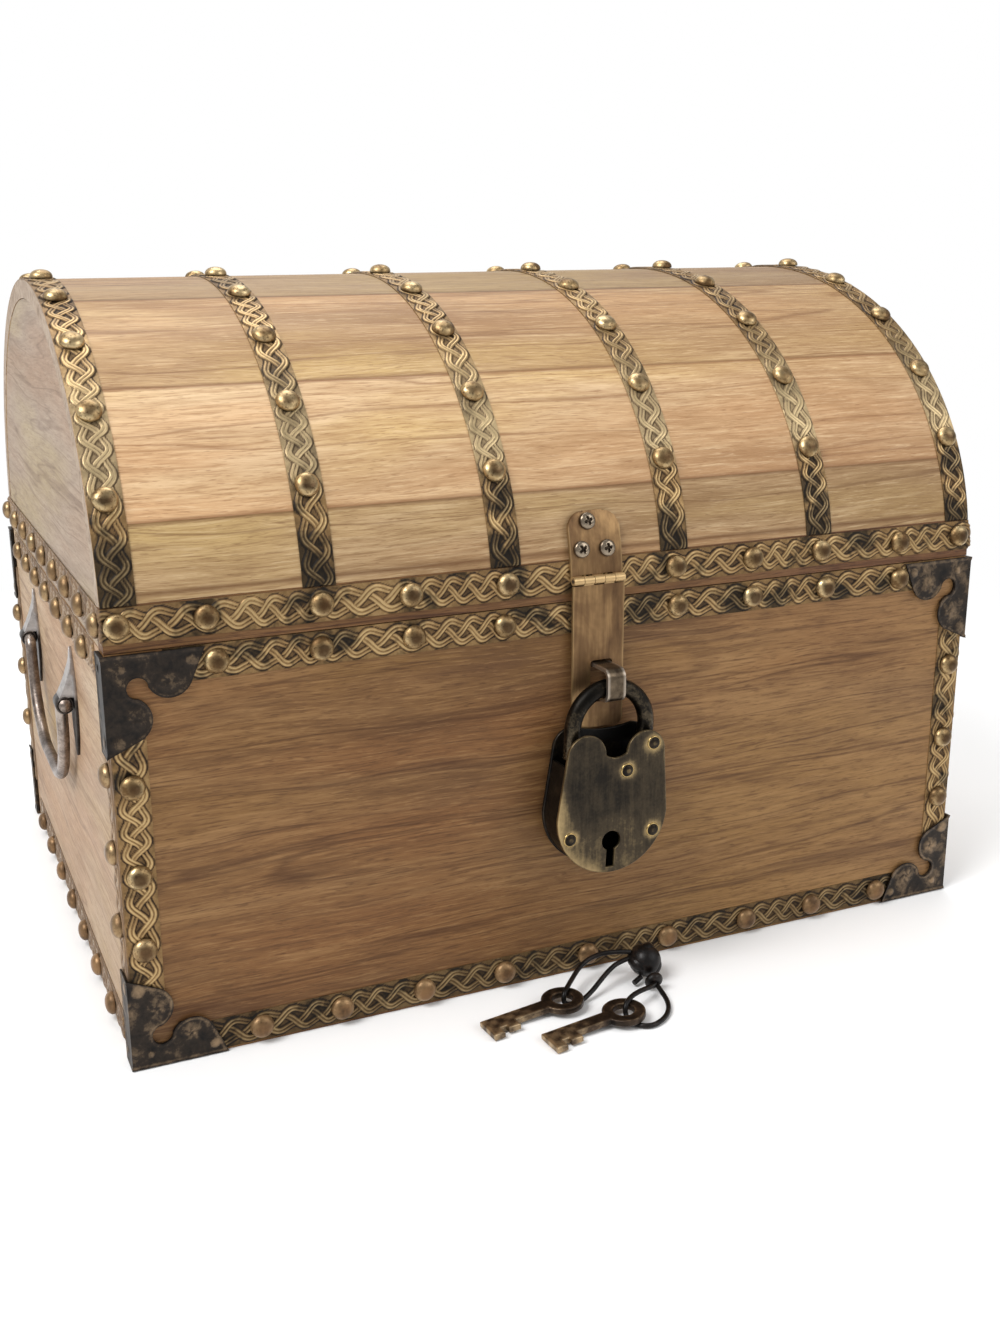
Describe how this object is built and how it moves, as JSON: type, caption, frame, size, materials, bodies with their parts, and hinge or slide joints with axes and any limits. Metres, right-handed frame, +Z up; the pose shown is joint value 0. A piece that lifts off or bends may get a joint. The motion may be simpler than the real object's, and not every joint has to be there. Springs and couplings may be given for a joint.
{
  "type": "domed storage chest",
  "caption": "Wooden chest with a domed hinged lid, braided brass strips, nail rows, iron corners, side handles, a hasp with a hanging padlock and keys on a cord.",
  "frame": {"origin": "centre of the underside, on the floor", "axes": "+X along the width to the right seen from the front, +Y to the back, +Z up; the front with the padlock faces -Y"},
  "size_m": [0.4702, 0.4128, 0.3437],
  "materials": {
    "front_wood": "satin",
    "end_wood": "matte",
    "braid_brass": "antique, worn bright on the ridges",
    "nail_brass": "antique",
    "black_iron": "satin",
    "hasp_brass": "dull",
    "steel": "darkened",
    "lock_bronze": "dark, rubbed at the edges",
    "key_brass": "dark",
    "cord_black": "waxed"
  },
  "bodies": {
    "case": {"front_panel": "front_wood", "back_panel": "front_wood", "left_panel": "end_wood", "right_panel": "end_wood", "base_board": "end_wood", "case_top_band_front": "braid_brass", "case_top_band_back": "braid_brass", "case_top_band_left": "braid_brass", "case_top_band_right": "braid_brass", "bottom_band_front": "braid_brass", "bottom_band_back": "braid_brass", "bottom_band_left": "braid_brass", "bottom_band_right": "braid_brass", "corner_bands": "braid_brass", "top_brackets": "black_iron", "bottom_brackets": "black_iron", "case_nails": "nail_brass", "staple": "steel", "handle_plates_left": "steel", "handle_plates_right": "steel", "hinge_case_leaves": "hasp_brass", "hinge_pins": "steel"},
    "lid": {"lid_front_rail": "front_wood", "lid_back_rail": "front_wood", "lid_stave_1": "front_wood", "lid_stave_2": "front_wood", "lid_stave_3": "front_wood", "lid_stave_4": "front_wood", "lid_stave_5": "front_wood", "lid_stave_6": "front_wood", "lid_stave_7": "front_wood", "lid_stave_8": "front_wood", "lid_end_left": "end_wood", "lid_end_right": "end_wood", "lid_band": "braid_brass", "dome_band_1": "braid_brass", "dome_band_2": "braid_brass", "dome_band_3": "braid_brass", "dome_band_4": "braid_brass", "dome_band_5": "braid_brass", "dome_band_6": "braid_brass", "lid_nails": "nail_brass", "hinge_lid_leaves": "hasp_brass", "hasp_leaf": "hasp_brass", "hasp_screws": "steel"},
    "hasp": {"hasp_strap": "hasp_brass", "hasp_pin": "steel"},
    "shackle": {"shackle": "steel"},
    "padlock": {"lock_front_plate": "lock_bronze", "lock_back_plate": "lock_bronze", "lock_case_wall": "lock_bronze", "lock_rivets": "lock_bronze", "lock_bolt": "steel"},
    "left_handle": {"left_bail": "steel"},
    "right_handle": {"right_bail": "steel"},
    "keys": {"key_left": "key_brass", "key_right": "key_brass", "cord_loop_left": "cord_black", "cord_loop_right": "cord_black", "cord_knot": "cord_black"}
  },
  "joints": [
    {"name": "lid_hinge", "type": "hinge", "parent": "case", "child": "lid", "pos_m": [0, 0.1747, 0.1902], "axis": [-1, 0, 0], "range_deg": [0, 100]},
    {"name": "hasp_hinge", "type": "hinge", "parent": "lid", "child": "hasp", "pos_m": [0.0024, -0.1737, 0.2002], "axis": [-1, 0, 0], "range_deg": [0, 90]},
    {"name": "shackle_swing", "type": "hinge", "parent": "hasp", "child": "shackle", "pos_m": [0.0052, -0.1829, 0.1506], "axis": [-1, 0, 0], "range_deg": [0, 80]},
    {"name": "padlock_pivot", "type": "hinge", "parent": "shackle", "child": "padlock", "pos_m": [0.02337, -0.1829, 0.12281], "axis": [0, -1, 0], "range_deg": [0, 60]},
    {"name": "left_bail_swing", "type": "hinge", "parent": "case", "child": "left_handle", "pos_m": [-0.2308, 0, 0.1425], "axis": [0, 1, 0], "range_deg": [0, 120]},
    {"name": "right_bail_swing", "type": "hinge", "parent": "case", "child": "right_handle", "pos_m": [0.2308, 0, 0.1425], "axis": [0, -1, 0], "range_deg": [0, 120]},
    {"name": "keys_slide", "type": "slide", "parent": "case", "child": "keys", "axis": [0, -1, 0], "range_m": [0, 0.2]}
  ]
}
